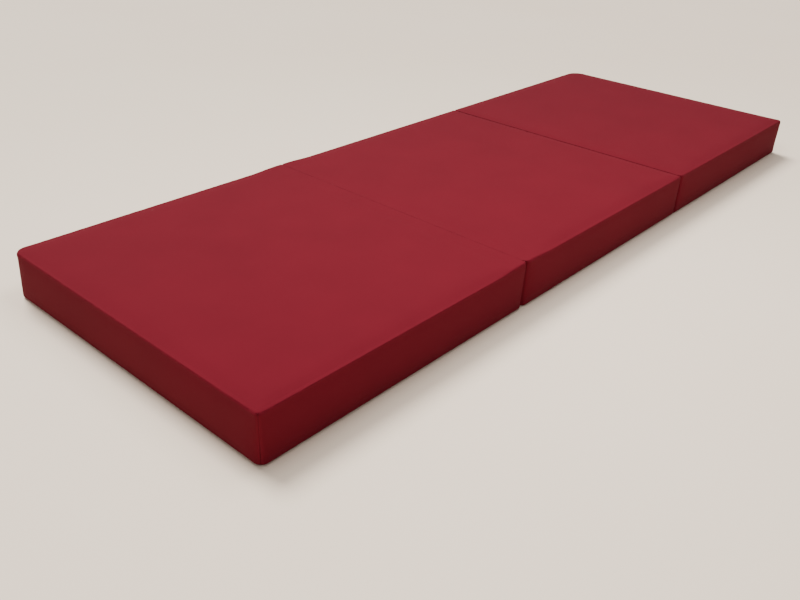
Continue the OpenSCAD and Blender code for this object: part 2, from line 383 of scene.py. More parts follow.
def quads_of(rows, columns, flip, first=0):
    """Indices of the four corners of each cell of a grid, turned over if flip is set."""
    k = first + np.arange(rows * columns).reshape(rows, columns)
    quads = np.stack([k[:-1, :-1], k[1:, :-1], k[1:, 1:], k[:-1, 1:]], -1).reshape(-1, 4)
    return quads[:, ::-1] if flip else quads


def weld(parts):
    """All the grids as one closed mesh: points that round to the same multiple of WELD become one.
    Returns the points, the quads, and for each part the index of each of its grid points."""
    points = np.concatenate([part.reshape(-1, 3) for part in parts.values()])
    quads, first = [], 0
    for key, part in parts.items():
        quads.append(quads_of(*part.shape[:2], FLIPPED[key], first))
        first += part.shape[0] * part.shape[1]
    _, keep, where = np.unique(np.round(points / WELD), axis=0, return_index=True, return_inverse=True)
    where = where.ravel()
    faces, index, first = where[np.concatenate(quads)], {}, 0
    for key, part in parts.items():
        count = part.shape[0] * part.shape[1]
        index[key] = where[first:first + count].reshape(part.shape[:2])
        first += count
    return points[keep], faces, index


# %% [markdown]
# The cloth is stiff and the pressure low, so the bag never balloons. Gravity is off, because the foam
# carries the cover. The result is read from the evaluated mesh and the helper object is deleted, so no
# cloth modifier is left in the scene.

# %% Cloth simulation
FRAMES = 20
STIFF_CLOTH = {"quality": 5, "mass": 0.3, "tension_stiffness": 40, "compression_stiffness": 40,
               "shear_stiffness": 15, "bending_stiffness": 2, "use_pressure": True,
               "uniform_pressure_force": 4.0, "vertex_group_mass": "held"}


def blow_out(name, points, faces, held):
    """Where the points are after the cloth simulation, with the held ones fixed."""
    mesh = bpy.data.meshes.new(f"{name}_bag")
    mesh.from_pydata(points.tolist(), [], faces.tolist())
    bag = in_scene(f"{name}_bag", mesh)
    bag.vertex_groups.new(name="held").add(held.tolist(), 1.0, "REPLACE")
    cloth = bag.modifiers.new("Cloth", "CLOTH")
    for key, value in STIFF_CLOTH.items():
        setattr(cloth.settings, key, value)
    cloth.settings.effector_weights.gravity = 0
    cloth.point_cache.frame_end = FRAMES
    for number in range(1, FRAMES + 1):
        bpy.context.scene.frame_set(number)
    evaluated = bag.evaluated_get(bpy.context.evaluated_depsgraph_get())
    moved = np.empty(len(points) * 3, np.float32)
    evaluated.data.vertices.foreach_get("co", moved)
    bpy.context.scene.frame_set(1)
    bpy.data.objects.remove(bag)
    return moved.reshape(-1, 3).astype(float)


CAP_TOP = 2.4 * MM
CAP_SIDE = 3.2 * MM
CAP_BACK = 0.4 * MM
CAP_FOLD = 0.7 * MM
HINGE_BAND = 0.3 * MM
ZIP_BAND = 14 * MM


def held_points(size, parts, index):
    """The points that stay still: every seam, the underside, the rim of the hinged top, the zip band."""
    held = [index["bottom"].ravel()]
    for side in SIDES:
        held += [index[side][0], index[side][-1], index[side][:, 0], index[side][:, -1]]
    near_hinge = parts["top"][..., 2] > size["height"] - HINGE_BAND
    held.append(index["top"][near_hinge])
    zip_band = np.abs(parts["back"][..., 2] - size["height"] / 2) < ZIP_BAND
    held.append(index["back"][zip_band])
    return np.unique(np.concatenate(held))


def bag_moves(name):
    """The capped move of each point of each coarse grid, and the welded bag itself."""
    size = SIZE[name]
    parts = bag_parts(size)
    points, faces, index = weld(parts)
    held = held_points(size, parts, index)
    blown = blow_out(name, points, faces, held)
    move = blown - points
    length = np.linalg.norm(move, axis=1, keepdims=True)
    cap = np.full((len(points), 1), CAP_SIDE)
    cap[index["top"]] = CAP_TOP
    cap[index["back"]] = CAP_BACK
    for end, side in ((LEFT, "left"), (RIGHT_END, "right")):
        if not size["outer_end"][end]:
            cap[index[side]] = CAP_FOLD
    move = move * cap * np.tanh(length / cap) / np.maximum(length, 1e-9)
    print(name, "bag:", len(points), "points, blown out", np.round(length.max() / MM, 1), "mm, kept",
          np.round(np.linalg.norm(move, axis=1).max() / MM, 2), "mm")
    return {"move": {key: move[index[key]] for key in index}, "points": points + move, "faces": faces}


BAG = {name: bag_moves(name) for name in SECTIONS}

# %% [markdown]
# ## Reading the coarse moves on a fine grid
#
# A fine point lies between four coarse ones in each direction. Catmull-Rom weights pass exactly through
# the coarse values, so a seam that didn't move still doesn't, and they leave no facets in between.

# %% Catmull-Rom sampling
def cubic_weights(t):
    """The four Catmull-Rom weights at the share t between the middle two samples."""
    return (-t / 2 + t ** 2 - t ** 3 / 2, 1 - 5 * t ** 2 / 2 + 3 * t ** 3 / 2,
            t / 2 + 2 * t ** 2 - 3 * t ** 3 / 2, -t ** 2 / 2 + t ** 3 / 2)


def sample(grid, i, j):
    """The grid's values at fractional indices i and j, arrays of one shape."""
    i0 = np.clip(np.floor(i).astype(int), 0, grid.shape[0] - 2)
    j0 = np.clip(np.floor(j).astype(int), 0, grid.shape[1] - 2)
    total = 0
    for a, weight_i in enumerate(cubic_weights(i - i0)):
        for b, weight_j in enumerate(cubic_weights(j - j0)):
            ii = np.clip(i0 + a - 1, 0, grid.shape[0] - 1)
            jj = np.clip(j0 + b - 1, 0, grid.shape[1] - 1)
            total = total + (weight_i * weight_j)[..., None] * grid[ii, jj]
    return total


# %% [markdown]
# ## Small shapes in the cloth
#
# Close to, a sewn cover is never smooth. Each seam lies in a groove, because the two cloths turn inward
# there, with a soft swell beside it. Along it the cloth puckers a little between the stitches, and over
# the flat there are long, low waves. These are all moves along the cloth's own normal, so one function
# adds them to any grid. The waves are sums of sines in fixed random directions, which repeat the same
# way on every run.

# %% Waves, grooves and puckers
GROOVE = 0.8 * MM
GROOVE_WIDTH = 1.5 * MM
SWELL = 0.22 * MM
SWELL_PLACE, SWELL_WIDTH = 5 * MM, 3.5 * MM
RIM_SEAM = 1.6 * MM
UPRIGHT_SEAM = 0.5 * MM
FOLD_SEAM = 6.0 * MM
PUCKER = 0.16 * MM
PUCKER_LENGTH = 17 * MM
PUCKER_START, PUCKER_FADE = 2 * MM, 9 * MM
WAVE = 0.22 * MM
WAVE_LENGTH = 150 * MM
WAVE_FADE = 25 * MM


def waves(points, length, seed, count=7):
    """Sum of count sines of about that wavelength in random directions, with a spread near 1."""
    rng = np.random.default_rng(SEED + seed)
    directions = rng.normal(size=(3, count))
    directions *= rng.uniform(0.7, 1.4, count) * 2 * np.pi / length / np.linalg.norm(directions, axis=0)
    return np.sin(points @ directions + rng.uniform(0, 2 * np.pi, count)).sum(-1) * np.sqrt(2 / count)


def grid_normals(points, flip):
    """Unit normals of a grid: the cross product of its two directions, turned outward."""
    normal = np.cross(np.gradient(points, axis=0), np.gradient(points, axis=1))
    normal /= np.maximum(np.linalg.norm(normal, axis=-1, keepdims=True), 1e-12)
    return -normal if flip else normal


def sewn(points, flip, edge, seed):
    """The grid with its seam grooves, the swell beside them, puckers and long waves. edge is each
    point's distance from the nearest seam, measured along the cloth."""
    move = -GROOVE * np.exp(-(edge / GROOVE_WIDTH) ** 2)
    move += SWELL * np.exp(-((edge - SWELL_PLACE) / SWELL_WIDTH) ** 2)
    fade = (1 - np.exp(-edge / PUCKER_START)) * np.exp(-edge / PUCKER_FADE)
    move += PUCKER * fade * waves(points, PUCKER_LENGTH, seed)
    move += WAVE * (1 - np.exp(-edge / WAVE_FADE)) * waves(points, WAVE_LENGTH, seed + 1)
    return points + move[..., None] * grid_normals(points, flip)


# %% [markdown]
# ## From grid to piece
#
# `grid_piece` puts the arrays into a mesh: points, quads, a UV map in metres along and across the
# cloth, which the weave follows, and an attribute with the distance from the nearest seam, which the
# paler strip of wear and painted highlight and the painted shade in the groove follow. A Solidify
# modifier gives the cloth its thickness inward, so the outer face stays where the surface put it.

# %% Grid to mesh
def cloth_uv(points):
    """Lengths along the two directions of the grid, measured along its middle lines."""
    middle_row, middle_line = points[:, points.shape[1] // 2], points[points.shape[0] // 2]
    u = np.concatenate([[0], np.linalg.norm(np.diff(middle_row, axis=0), axis=1).cumsum()])
    v = np.concatenate([[0], np.linalg.norm(np.diff(middle_line, axis=0), axis=1).cumsum()])
    return np.stack(np.meshgrid(u, v, indexing="ij"), -1)


def grid_piece(name, points, flip, uv, edge, thickness=CLOTH):
    """A smooth mesh object of the grid, with its UV map, its edge attribute and its thickness."""
    rows, columns = points.shape[:2]
    quads = quads_of(rows, columns, flip)
    mesh = bpy.data.meshes.new(name)
    mesh.from_pydata(points.reshape(-1, 3).tolist(), [], quads.tolist())
    layer = mesh.uv_layers.new(name="cloth")
    layer.data.foreach_set("uv", uv.reshape(-1, 2)[quads.ravel()].astype(np.float32).ravel())
    mesh.attributes.new("edge", "FLOAT", "POINT").data.foreach_set("value", edge.astype(np.float32).ravel())
    mesh.polygons.foreach_set("use_smooth", np.ones(len(quads), bool))
    piece = in_scene(name, mesh)
    wall = piece.modifiers.new("Cloth thickness", "SOLIDIFY")
    wall.thickness = thickness
    wall.offset = -1
    wall.use_even_offset = False
    return piece


def plain_mesh(name, points, faces, material):
    """A smooth mesh object from an array of points and a list of faces, with one finish."""
    mesh = bpy.data.meshes.new(name)
    mesh.from_pydata(points.tolist(), [], faces)
    mesh.polygons.foreach_set("use_smooth", np.ones(len(mesh.polygons), bool))
    mesh.materials.append(material)
    return in_scene(name, mesh)


def body_of(name):
    """The frame's body for a section."""
    return f"{name}_section"


def stands_for(piece, name, node):
    """A piece that rides on its section in place of one of its nodes, which is hidden."""
    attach(piece, body_of(name))
    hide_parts(node)


# %% [markdown]
# ## Nodes for the finishes
#
# Each finish is a small tree of nodes ending in one Principled shader. These helpers keep the trees
# short: `Tree` adds a node with its settings and links in one call. Patterns on cloth read the UV map in
# metres, so a thread has its true width, and patterns on foam and metal read object coordinates.

# %% Node helpers
class Tree:
    """A material under construction."""

    def __init__(self, name):
        self.material = bpy.data.materials.new(name)
        self.material.use_nodes = True
        self.nodes, self.links = self.material.node_tree.nodes, self.material.node_tree.links
        self.shader = self.nodes["Principled BSDF"]

    def add(self, kind, settings=None, **inputs):
        """A node with its settings and inputs: an input is a value, or another node's output."""
        node = self.nodes.new(kind)
        for key, value in (settings or {}).items():
            setattr(node, key, value)
        for key, value in inputs.items():
            self.put(node, key, value)
        return node

    def put(self, node, key, value):
        """Sets or links one input, named by its words joined with _ or by its number as in n0."""
        socket = node.inputs[int(key[1:]) if key[1:].isdigit() else key.replace("_", " ")]
        if isinstance(value, bpy.types.NodeSocket):
            self.links.new(value, socket)
        else:
            socket.default_value = value

    def finish(self, **inputs):
        """Sets or links the shader's inputs, and returns the finished material."""
        for key, value in inputs.items():
            self.put(self.shader, key, value)
        return self.material

    def math(self, operation, a, b=0.0):
        """The result of a sum on two values or outputs."""
        return self.add("ShaderNodeMath", {"operation": operation}, n0=a, n1=b).outputs[0]

    def noise(self, vector, scale, detail=2.0):
        """Soft random patches, about 1 / scale metres across."""
        node = self.add("ShaderNodeTexNoise", Vector=vector, Scale=scale, Detail=detail)
        return node.outputs["Fac"]

    def bands(self, vector, direction, period):
        """Sine bands of that period. The wave texture repeats every pi / 10 of its scaled input."""
        node = self.add("ShaderNodeTexWave", {"bands_direction": direction}, Vector=vector,
                        Scale=np.pi / 10 / period)
        return node.outputs["Fac"]

    def ranged(self, value, low, high, to_low, to_high):
        """The value carried from the range low to high over to the range to_low to to_high."""
        node = self.add("ShaderNodeMapRange", Value=value, From_Min=low, From_Max=high, To_Min=to_low,
                        To_Max=to_high)
        return node.outputs[0]

    def blend(self, factor, a, b):
        """A colour from a to b."""
        return self.add("ShaderNodeMix", {"data_type": "RGBA"}, n0=factor, n6=a, n7=b).outputs[2]

    def bump(self, height, distance, strength=1.0, normal=None):
        """Fine relief of that depth, on top of another relief if there is one."""
        node = self.add("ShaderNodeBump", Height=height, Distance=distance, Strength=strength)
        if normal is not None:
            self.links.new(normal, node.inputs["Normal"])
        return node.outputs["Normal"]


def cloth_coordinates(tree):
    """The piece's UV map, in metres along and across its cloth."""
    return tree.add("ShaderNodeUVMap", {"uv_map": "cloth"}).outputs["UV"]


def object_coordinates(tree):
    """The place in the object's own space, in metres."""
    return tree.add("ShaderNodeTexCoord").outputs["Object"]


# %% [markdown]
# ## Microfibre
#
# The cover is brushed polyester microfibre: a fine, dense weave under a short nap. From a step away it
# is an even, matte burgundy. The nap makes soft patches where it lies one way or the other, and the
# seams hold a thin line of painted shade. The swell beside each seam is a little smoother, because it
# gets rubbed, and a little paler, partly from that wear and partly as a painted highlight where the
# swell catches the light. A little sheen stands for the fibre ends that catch the light at a low angle.

# %% Microfibre
YARN = 0.55 * MM
NAP_SCALE, PATCH_SCALE = 420.0, 9.0
# A strip from 2 to 7 mm beside each seam is paler and smoother: part wear, part painted highlight.
PALE_STRIP_FROM, PALE_STRIP_TO = 2 * MM, 7 * MM
SEAM_SHADE = 1.3 * MM
DEEP_BURGUNDY, PALE_BURGUNDY = (0.110, 0.0051, 0.0122, 1.0), (0.140, 0.0067, 0.0158, 1.0)


def toned(colour, factor):
    """The colour made lighter or darker by a factor, with its alpha left alone."""
    return tuple(factor * c for c in colour[:3]) + (1.0,)


def microfibre(name, deep, pale):
    """Brushed burgundy cloth between two tones."""
    tree = Tree(name)
    uv = cloth_coordinates(tree)
    edge = tree.add("ShaderNodeAttribute", {"attribute_name": "edge"}).outputs["Fac"]
    patches = tree.noise(object_coordinates(tree), PATCH_SCALE, 3.0)
    nap = tree.noise(uv, NAP_SCALE, 3.0)
    warp, weft = tree.bands(uv, "X", YARN), tree.bands(uv, "Y", YARN)
    weave = tree.math("MULTIPLY", warp, weft)
    tone = tree.ranged(patches, 0.3, 0.7, 0.25, 0.5)
    tone = tree.math("ADD", tone, tree.ranged(nap, 0.3, 0.7, -0.12, 0.12))
    tone = tree.math("ADD", tone, tree.ranged(weave, 0.0, 1.0, -0.05, 0.12))
    colour = tree.blend(tone, deep, pale)
    # Painted highlight, partly real wear: the swell beside each seam is paler in colour, and smoother below.
    worn_and_highlit = tree.ranged(edge, PALE_STRIP_FROM, PALE_STRIP_TO, 1.0, 0.0)
    worn_and_highlit = tree.math("MULTIPLY", worn_and_highlit, tree.ranged(nap, 0.35, 0.65, 0.0, 0.5))
    colour = tree.blend(worn_and_highlit, colour, toned(pale, 1.3))
    shade = tree.ranged(edge, 0.0, SEAM_SHADE, 0.75, 0.0)
    colour = tree.blend(shade, colour, toned(deep, 0.25))
    rough = tree.math("SUBTRACT", tree.ranged(nap, 0.2, 0.8, 0.78, 0.92), tree.math("MULTIPLY", worn_and_highlit, 0.15))
    normal = tree.bump(nap, 0.25 * MM, 0.5)
    normal = tree.bump(weave, 0.1 * MM, 0.6, normal)
    return tree.finish(Base_Color=colour, Roughness=rough, Normal=normal, Sheen_Weight=0.02,
                       Sheen_Roughness=0.45, Sheen_Tint=(0.9, 0.45, 0.5, 1.0), Specular_IOR_Level=0.06)


COVER_CLOTH = microfibre("burgundy_microfibre", DEEP_BURGUNDY, PALE_BURGUNDY)
print("made", COVER_CLOTH.name)

# %% [markdown]
# ## The flat panels
#
# The top and bottom panels are the largest pieces. Beside a hinge the two top panels nearly touch, so
# the panel reaches a little past the end face there. The top carries two small creases, one along the
# far fold and one near it, where the cloth was folded most. Two tops meet when the mattress is folded, so
# no point may rise above a ceiling c just under the hinge: z becomes c - s log(1 + exp((c - z) / s)),
# which is z well below the ceiling and never more than c.

# %% Top and bottom panels
FINE_TOP = {"x": Lines(11, 132), "y": Lines(11, 140)}
FINE_BOTTOM = {"x": Lines(9, 84), "y": Lines(9, 90)}
HINGE_REACH = 0.95 * MM
CEILING = SIZE["head"]["height"] + 0.2 * MM
CEILING_SOFTNESS = 0.3 * MM
REACH_FADE = 20 * MM
FOLD_SEAM_FADE = 25 * MM
CREASES = {"middle": [((0.3135, 0.058), (0.3215, -0.031), 0.5 * MM),
                      ((0.207, -0.118), (0.2135, -0.1365), 0.35 * MM)]}
CREASE_WIDTH = 4.5 * MM
CREASE_END = 0.4


def crease(points, start, stop, deep):
    """A shallow valley along a line: a bell across it, fading out over a share of its length at both ends,
    from half that far inside the end to half that far outside."""
    start, stop = np.array(start), np.array(stop)
    length = np.linalg.norm(stop - start)
    along = (points[..., :2] - start) @ (stop - start) / length
    across = (points[..., :2] - start) @ np.array([start[1] - stop[1], stop[0] - start[0]]) / length
    fade = CREASE_END * length
    window = smooth(along / fade + 0.5) * smooth((length - along) / fade + 0.5)
    return -deep * np.exp(-(across / CREASE_WIDTH) ** 2) * window


def panel_piece(name, face):
    """The top or bottom panel of a section, filled out and sewn."""
    size, fine = SIZE[name], FINE_TOP if face == "top" else FINE_BOTTOM
    points, inset = panel_surface(size, face, fine["x"], fine["y"])
    i = np.tile(COARSE["x"].index_of(fine["x"].position)[:, None], (1, fine["y"].count))
    j = np.tile(COARSE["y"].index_of(fine["y"].position)[None, :], (fine["x"].count, 1))
    points = points + sample(BAG[name]["move"][face], i, j)
    hinged = size[f"{face}_hinged"]
    for end, sign in ((LEFT, -1), (RIGHT_END, 1)):
        if hinged[end]:
            near = smooth(1 - np.abs(points[..., 0] - size["x"][end]) / REACH_FADE)
            points[..., 0] += sign * HINGE_REACH * near
    flat = points.copy()
    edge = np.maximum(inset - inset.min(), 0) + RIM_SEAM
    for end in (LEFT, RIGHT_END):
        if not size["outer_end"][end]:
            edge += FOLD_SEAM * smooth(1 - np.abs(points[..., 0] - size["x"][end]) / FOLD_SEAM_FADE)
    points = sewn(points, FLIPPED[face], edge, len(name))
    for start, stop, deep in CREASES.get(name, []) if face == "top" else []:
        points[..., 2] += crease(points, start, stop, deep)
    if face == "bottom":
        points[..., 2] = np.maximum(points[..., 2], 0)
    else:
        over = (points[..., 2] - CEILING) / CEILING_SOFTNESS
        points[..., 2] = CEILING - CEILING_SOFTNESS * np.log1p(np.exp(-over))
    piece = grid_piece(f"{name}_{face}_cloth", points, FLIPPED[face], flat[..., :2], edge)
    piece.data.materials.append(COVER_CLOTH)
    stands_for(piece, name, f"{name}_{face}_panel")
    return piece


PANELS = {(name, face): panel_piece(name, face) for name in SECTIONS for face in ("top", "bottom")}
print("panels:", len(PANELS), "top grid", len(PANELS["head", "top"].data.vertices), "points")

# %% [markdown]
# ## The borders
#
# Four borders go round each section: front, left, right, and the back one, which is cut in two along
# the zip. The lines of a border are the lines of the panel that it is sewn to. Its rows crowd towards
# the seams. The zip opening is closed beyond its ends by the upper back border, which reaches down
# there to meet the lower one. Under a hinge at the top the border stops a little lower, to let the
# hinge strip out between it and the panel, and the same at the bottom.

# %% Rows of a border
FINE_SIDE = {"x": Lines(10, 190), "y": Lines(10, 200)}
ARC_TOP, WALL, ARC_BOTTOM = 7, 22, 9
WALL_OVER_ZIP, WALL_UNDER_ZIP = 14, 12
ARC_CROWDING = 1.4
ZIP_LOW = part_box("head_back_border_lower")[1].z
ZIP_HIGH = SIZE["head"]["height"] - ZIP_LOW


def crowded(count):
    """Shares from 0 to 1, closer together at both ends: with t from -1 to 1, they are
    sign(t) (1 - (1 - |t|)^CROWDING), moved to run from 0 to 1."""
    t = np.linspace(-1, 1, count + 1)
    return (np.sign(t) * (1 - (1 - np.abs(t)) ** CROWDING) + 1) / 2


def border_rows(w_from, w_to, wall_rows):
    """Values of w, lines x rows: the top roll if w_from is 0, the wall between, and the bottom roll if
    w_to is 3. w_from and w_to are single numbers or one value per line."""
    w_from, w_to = np.atleast_1d(w_from)[:, None] * 1.0, np.atleast_1d(w_to)[:, None] * 1.0
    rows = []
    if np.all(w_from < 1):
        rows.append((np.arange(ARC_TOP) / ARC_TOP)[None, :] ** ARC_CROWDING + 0 * w_to)
        w_from = w_from * 0 + 1
    ends_low = np.all(w_to > 2)
    rows.append(mix(w_from, np.minimum(w_to, 2), crowded(wall_rows)[None, :]))
    if ends_low:
        arc = (1 - np.arange(1, ARC_BOTTOM + 1) / ARC_BOTTOM)[None, :]
        rows.append(3 - arc ** ARC_CROWDING + 0 * w_from)
    count = max(len(r) for r in rows)
    return np.concatenate([np.broadcast_to(r, (count, r.shape[1])) for r in rows], 1)


def wall_w(size, lines, z):
    """The w at which the back wall is at height z, for each line."""
    top = top_height(size, mix(size["x"][0], size["x"][1], lines.share)) - EDGE_TOP_ROLL
    return 1 + (top - z) / (top - EDGE_BOTTOM_ROLL)


# %% Borders
HINGE_CLEAR = 1.95 * MM
CLEAR_OVER = 30 * MM
CLEAR_IN = 6 * MM
ZIP_END_TURN = 9 * MM


def clear_hinges(size, points):
    """Borders under a hinged edge end lower, and those above one end higher, easing back over
    CLEAR_OVER of the wall and CLEAR_IN from the end face."""
    for end in (LEFT, RIGHT_END):
        near = smooth(1 - np.abs(points[..., 0] - size["x"][end]) / CLEAR_IN)
        if size["top_hinged"][end]:
            from_top = size["height"] - points[..., 2]
            points[..., 2] -= HINGE_CLEAR * near * smooth(1 - from_top / CLEAR_OVER)
        if size["bottom_hinged"][end]:
            points[..., 2] += HINGE_CLEAR * near * smooth(1 - points[..., 2] / CLEAR_OVER)
    return points


def border_piece(name, side, w, part, seed):
    """One border of a section from its rows of w: filled out, sewn and riding on its body."""
    size, lines = SIZE[name], side_lines(side, FINE_SIDE)
    w = np.broadcast_to(w, (lines.count, w.shape[1]))
    points = border_surface(size, side, lines, w)
    i = np.tile(side_lines(side, COARSE).index_of(lines.position)[:, None], (1, w.shape[1]))
    j = np.interp(w, COARSE_W, np.arange(len(COARSE_W)))
    points = points + sample(BAG[name]["move"][side], i, j)
    points = clear_hinges(size, points)
    uv = cloth_uv(points)
    span = uv.max((0, 1))
    down = np.linalg.norm(np.diff(points, axis=1), axis=-1).cumsum(1)
    down = np.concatenate([np.zeros((lines.count, 1)), down], 1)
    upright = np.minimum(uv[..., 0], span[0] - uv[..., 0]) + UPRIGHT_SEAM
    edge = np.minimum.reduce([upright, down + RIM_SEAM, down[:, -1:] - down + RIM_SEAM])
    points = sewn(points, FLIPPED[side], edge, seed)
    points[..., 2] = np.maximum(points[..., 2], 0)
    piece = grid_piece(f"{name}_{part}_cloth", points, FLIPPED[side], uv, edge)
    piece.data.materials.append(COVER_CLOTH)
    stands_for(piece, name, f"{name}_{part}")
    return piece


def upper_cut(size, lines):
    """Lower edge of the upper back border: at the zip opening, and down to its lower side past its ends."""
    x = mix(size["x"][0], size["x"][1], lines.share)
    inside = np.minimum(x - size["zip_x"][0], size["zip_x"][1] - x)
    return mix(ZIP_LOW, ZIP_HIGH, smooth(inside / ZIP_END_TURN + 0.5) * (lines.turn == 0))


for number, name in enumerate(SECTIONS):
    full = border_rows(0, 3, WALL)
    for side in ("front", "left", "right"):
        seed = 10 * number + SIDES.index(side)
        border_piece(name, side, full, f"{side}_border", seed)
    back_lines = FINE_SIDE["x"]
    cut_high = wall_w(SIZE[name], back_lines, upper_cut(SIZE[name], back_lines))
    cut_low = wall_w(SIZE[name], back_lines, np.full(back_lines.count, ZIP_LOW))
    for half, rows, seed in (("upper", border_rows(0, cut_high, WALL_OVER_ZIP), 10 * number + 5),
                             ("lower", border_rows(cut_low, 3, WALL_UNDER_ZIP), 10 * number + 6)):
        border_piece(name, "back", rows, f"back_border_{half}", seed)

# %% [markdown]
# ## Foam
#
# Inside each cover is one slab of polyurethane foam. Nobody sees it while the zip is shut, but it gives
# the section its shape, so it is the blown-out bag itself, moved in along its normals by the cloth and a
# little room. It stays flat under the hinge strips and leaves the zip its space at the back. Cut foam
# shows open cells, which are a Voronoi pattern in the finish.

# %% Foam
FOAM_ROOM = 1.4 * MM
STRIP_LOW, STRIP_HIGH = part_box("foot_fold_strip"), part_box("head_fold_strip")
STRIP_ROOM = 0.4 * MM
FOAM_Z = (STRIP_LOW[1].z + STRIP_ROOM, STRIP_HIGH[0].z - STRIP_ROOM)
FOAM_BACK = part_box("head_foam_core")[1].y


def point_normals(points, faces):
    """Unit normals of a closed mesh at its points: the sum of the normals of the faces round each."""
    corner = points[faces]
    normal = np.cross(corner[:, 2] - corner[:, 0], corner[:, 3] - corner[:, 1])
    total = np.zeros_like(points)
    np.add.at(total, faces.ravel(), np.repeat(normal, 4, axis=0))
    return total / np.linalg.norm(total, axis=1, keepdims=True)


def foam_finish():
    """Cream foam: open cells about a millimetre across in the bump, with painted shade in each cell."""
    tree = Tree("cream_foam")
    place = object_coordinates(tree)
    cells = tree.add("ShaderNodeTexVoronoi", Vector=place, Scale=700.0).outputs["Distance"]
    large = tree.noise(place, 25.0, 3.0)
    colour = tree.blend(large, (0.78, 0.70, 0.50, 1.0), (0.84, 0.78, 0.60, 1.0))
    # Painted shade: the middle of each open cell is darker, as the hollow of a pore would be.
    colour = tree.blend(tree.ranged(cells, 0.0, 0.35, 0.55, 0.0), colour, (0.45, 0.36, 0.20, 1.0))
    return tree.finish(Base_Color=colour, Roughness=tree.ranged(large, 0.3, 0.7, 0.85, 0.97),
                       Normal=tree.bump(cells, 0.5 * MM, 0.7), Specular_IOR_Level=0.2)


FOAM = foam_finish()
for name in SECTIONS:
    bag = BAG[name]
    points = bag["points"] - (CLOTH + FOAM_ROOM) * point_normals(bag["points"], bag["faces"])
    points[:, 1] = np.minimum(points[:, 1], FOAM_BACK)
    points[:, 2] = np.clip(points[:, 2], *FOAM_Z)
    slab = plain_mesh(f"{name}_foam_slab", points, bag["faces"].tolist(), FOAM)
    stands_for(slab, name, f"{name}_foam_core")

# %% [markdown]
# ## Declaring the cloth
# ## Cut sizes of the cloth
# The cover pieces are sheets, cut flat and sewn. The size of each cut is known from the slab: its length
# or width between the seams, with the half rolls that the cloth covers on both sides.

# %% Cut sizes of the cover
ROLL_SHARE = np.pi / 4
for name in SECTIONS:
    size = SIZE[name]
    length, width = size["x"][1] - size["x"][0], size["y"][1] - size["y"][0]
    girth = size["height"] - (1 - ROLL_SHARE) * (EDGE_TOP_ROLL + EDGE_BOTTOM_ROLL)
    cuts = {"front": (length, girth), "left": (width, girth), "right": (width, girth),
            "upper": (length, size["height"] - ZIP_HIGH), "lower": (length, ZIP_LOW)}
    in_mm = {side: np.round(np.array(flat) / MM).tolist() for side, flat in cuts.items()}
    print(name, "cut sizes in mm:", in_mm)

# %% [markdown]
# ## Hinge strips
#
# A strip of woven tape is sewn under the top panels across the head fold, and over the bottom panels
# across the foot fold. In the millimetres of the fold itself it would have to follow both sections;
# here it is one mesh, finer in the fold, left where the frame puts it and attached to neither section.

# %% Woven tape finish
def woven_tape(name, dark, pale, rib):
    """Ribbed woven tape between two tones, with ribs of that width across it."""
    tree = Tree(name)
    uv = cloth_coordinates(tree)
    ribs, threads = tree.bands(uv, "Y", rib), tree.bands(uv, "X", rib / 2)
    fuzz = tree.noise(uv, 900.0, 2.0)
    height = tree.math("ADD", ribs, tree.math("MULTIPLY", threads, 0.5))
    tone = tree.math("ADD", tree.ranged(height, 0.0, 1.5, 0.1, 0.8), tree.ranged(fuzz, 0.3, 0.7, -0.15, 0.15))
    return tree.finish(Base_Color=tree.blend(tone, dark, pale), Sheen_Weight=0.1, Specular_IOR_Level=0.3,
                       Roughness=tree.ranged(fuzz, 0.2, 0.8, 0.6, 0.85),
                       Normal=tree.bump(height, 0.15 * MM, 0.8))


HINGE_TAPE = woven_tape("hinge_tape", (0.07, 0.005, 0.009, 1.0), (0.13, 0.010, 0.017, 1.0), 1.6 * MM)
ZIP_TAPE = woven_tape("zip_tape", (0.085, 0.006, 0.011, 1.0), (0.15, 0.011, 0.019, 1.0), 0.9 * MM)


def edge_distance(uv):
    """Distance of each grid point from the nearest edge of the cut."""
    span = uv.max((0, 1))
    return np.minimum.reduce([uv[..., 0], span[0] - uv[..., 0], uv[..., 1], span[1] - uv[..., 1]])


# %% Hinge strips
STRIP_THICKNESS = 0.65 * MM
STRIP_GAP = 0.08 * MM
FOLD_HALF = 1.2 * MM
FOLD_EDGE = 2 * MM
FOLD_LINES, FLAT_LINES, STRIP_ROWS = 13, 14, 221
STRIP_RIPPLE, RIPPLE_LENGTH = 0.03 * MM, 7 * MM
RIPPLE_PLACE, RIPPLE_WIDTH = 0.8, 3 * MM


def hinge_strip(name, node):
    """A strip across a fold, on a grid that is fine in the fold: it lies on the cloth with a thin gap,
    and ripples a little along its two seams."""
    low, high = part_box(node)
    fold = (low.x + high.x) / 2
    reach = (high.x - low.x) / 2
    fine = np.linspace(-FOLD_HALF, FOLD_HALF, FOLD_LINES)
    coarse = np.linspace(FOLD_EDGE, reach, FLAT_LINES)
    x = fold + np.concatenate([-coarse[::-1], fine, coarse])
    y = np.linspace(low.y, high.y, STRIP_ROWS)
    gx, gy = np.meshgrid(x, y, indexing="ij")
    at_seam = np.exp(-((np.abs(gx - fold) - reach * RIPPLE_PLACE) / RIPPLE_WIDTH) ** 2)
    surface = high.z - STRIP_GAP + STRIP_RIPPLE * np.sin(2 * np.pi * gy / RIPPLE_LENGTH) * at_seam
    points = np.stack([gx, gy, surface], -1)
    uv = cloth_uv(points)
    strip = grid_piece(name, points, False, uv, edge_distance(uv), STRIP_THICKNESS)
    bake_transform(strip)
    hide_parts(node)
    strip.data.materials.append(HINGE_TAPE)
    return strip


hinge_strip("head_fold_hinge", "head_fold_strip")
hinge_strip("foot_fold_hinge", "foot_fold_strip")
print("hinge strips: 2")

# %% [markdown]
# ## Zip tapes and coils
#
# Each section opens at the back with a coil zip. The two tapes are sewn behind the edges of the back
# borders. The teeth are a nylon wire wound into a flat coil and sewn along each tape: its centre line is
# x = pitch * turn, and an ellipse in the other two directions, with a thin tube carried along it.

